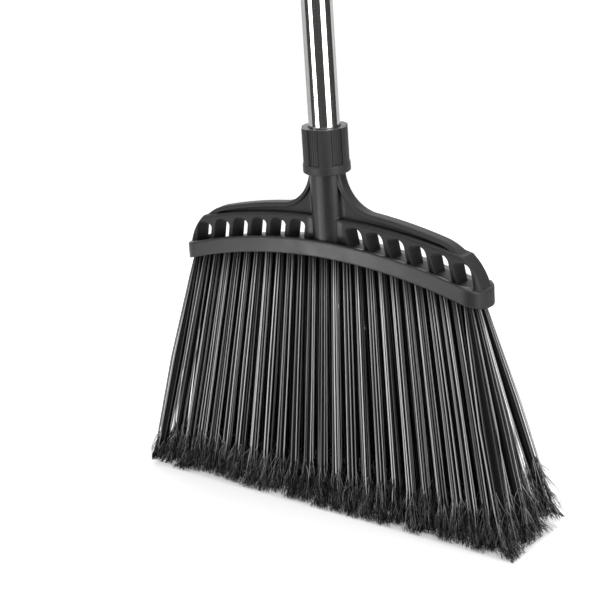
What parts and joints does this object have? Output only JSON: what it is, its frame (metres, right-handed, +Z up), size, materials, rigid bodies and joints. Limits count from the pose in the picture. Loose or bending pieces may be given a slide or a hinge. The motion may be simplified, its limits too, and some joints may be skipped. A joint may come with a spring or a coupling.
{
  "type": "outdoor broom",
  "caption": "Wide vented plastic broom head with long flagged bristles, a ribbed collar nut, and a polished steel handle in screwed sections with a hang-up grip.",
  "frame": {"origin": "on the ground under the middle of the bristle tips, on the handle's axis", "axes": "+Z up along the handle, +X along the head, the head's front faces -Y"},
  "size_m": [0.3258, 0.0692, 1.37],
  "materials": {
    "head_plastic": "satin",
    "grip_plastic": "satin",
    "inner_plastic": "matte",
    "bristle_fibre": "satin",
    "polished_steel": "polished",
    "anchor_wire": "satin"
  },
  "bodies": {
    "head": {"head_body": "head_plastic", "front_bristles": "bristle_fibre", "front_inner_bristles": "bristle_fibre", "rear_inner_bristles": "bristle_fibre", "rear_bristles": "bristle_fibre", "tuft_anchors": "anchor_wire"},
    "clamp": {"clamp_ring": "inner_plastic"},
    "collar": {"collar_nut": "head_plastic"},
    "lower_section": {"tube_end_plug": "inner_plastic", "lower_tube": "polished_steel", "coupling_sleeve_1": "grip_plastic"},
    "screw_1": {"threaded_plug_1": "grip_plastic"},
    "lower_middle_section": {"lower_middle_tube": "polished_steel", "coupling_sleeve_2": "grip_plastic"},
    "screw_2": {"threaded_plug_2": "grip_plastic"},
    "upper_middle_section": {"upper_middle_tube": "polished_steel", "coupling_sleeve_3": "grip_plastic"},
    "screw_3": {"threaded_plug_3": "grip_plastic"},
    "upper_section": {"upper_tube": "polished_steel", "hang_grip": "grip_plastic"}
  },
  "joints": [
    {"name": "handle_pull", "type": "slide", "parent": "head", "child": "lower_section", "axis": [0, 0, 1], "range_m": [0, 0.055]},
    {"name": "collar_rise", "type": "slide", "parent": "head", "child": "clamp", "axis": [0, 0, 1], "range_m": [0, 0.009]},
    {"name": "collar_turn", "type": "hinge", "parent": "clamp", "child": "collar", "pos_m": [0, 0, 0.26], "axis": [0, 0, 1], "range_deg": [0, 1080]},
    {"name": "screw_1_rise", "type": "slide", "parent": "lower_section", "child": "screw_1", "axis": [0, 0, 1], "range_m": [0, 0.026]},
    {"name": "screw_1_turn", "type": "hinge", "parent": "screw_1", "child": "lower_middle_section", "pos_m": [0, 0, 0.53], "axis": [0, 0, 1], "range_deg": [0, 2340]},
    {"name": "screw_2_rise", "type": "slide", "parent": "lower_middle_section", "child": "screw_2", "axis": [0, 0, 1], "range_m": [0, 0.026]},
    {"name": "screw_2_turn", "type": "hinge", "parent": "screw_2", "child": "upper_middle_section", "pos_m": [0, 0, 0.805], "axis": [0, 0, 1], "range_deg": [0, 2340]},
    {"name": "screw_3_rise", "type": "slide", "parent": "upper_middle_section", "child": "screw_3", "axis": [0, 0, 1], "range_m": [0, 0.026]},
    {"name": "screw_3_turn", "type": "hinge", "parent": "screw_3", "child": "upper_section", "pos_m": [0, 0, 1.08], "axis": [0, 0, 1], "range_deg": [0, 2340]}
  ],
  "couplings": [
    {"joint": "collar_rise", "follows": "collar_turn", "m_per_rad": 0.00047746},
    {"joint": "screw_1_rise", "follows": "screw_1_turn", "m_per_rad": 0.00063662},
    {"joint": "screw_2_rise", "follows": "screw_2_turn", "m_per_rad": 0.00063662},
    {"joint": "screw_3_rise", "follows": "screw_3_turn", "m_per_rad": 0.00063662}
  ]
}
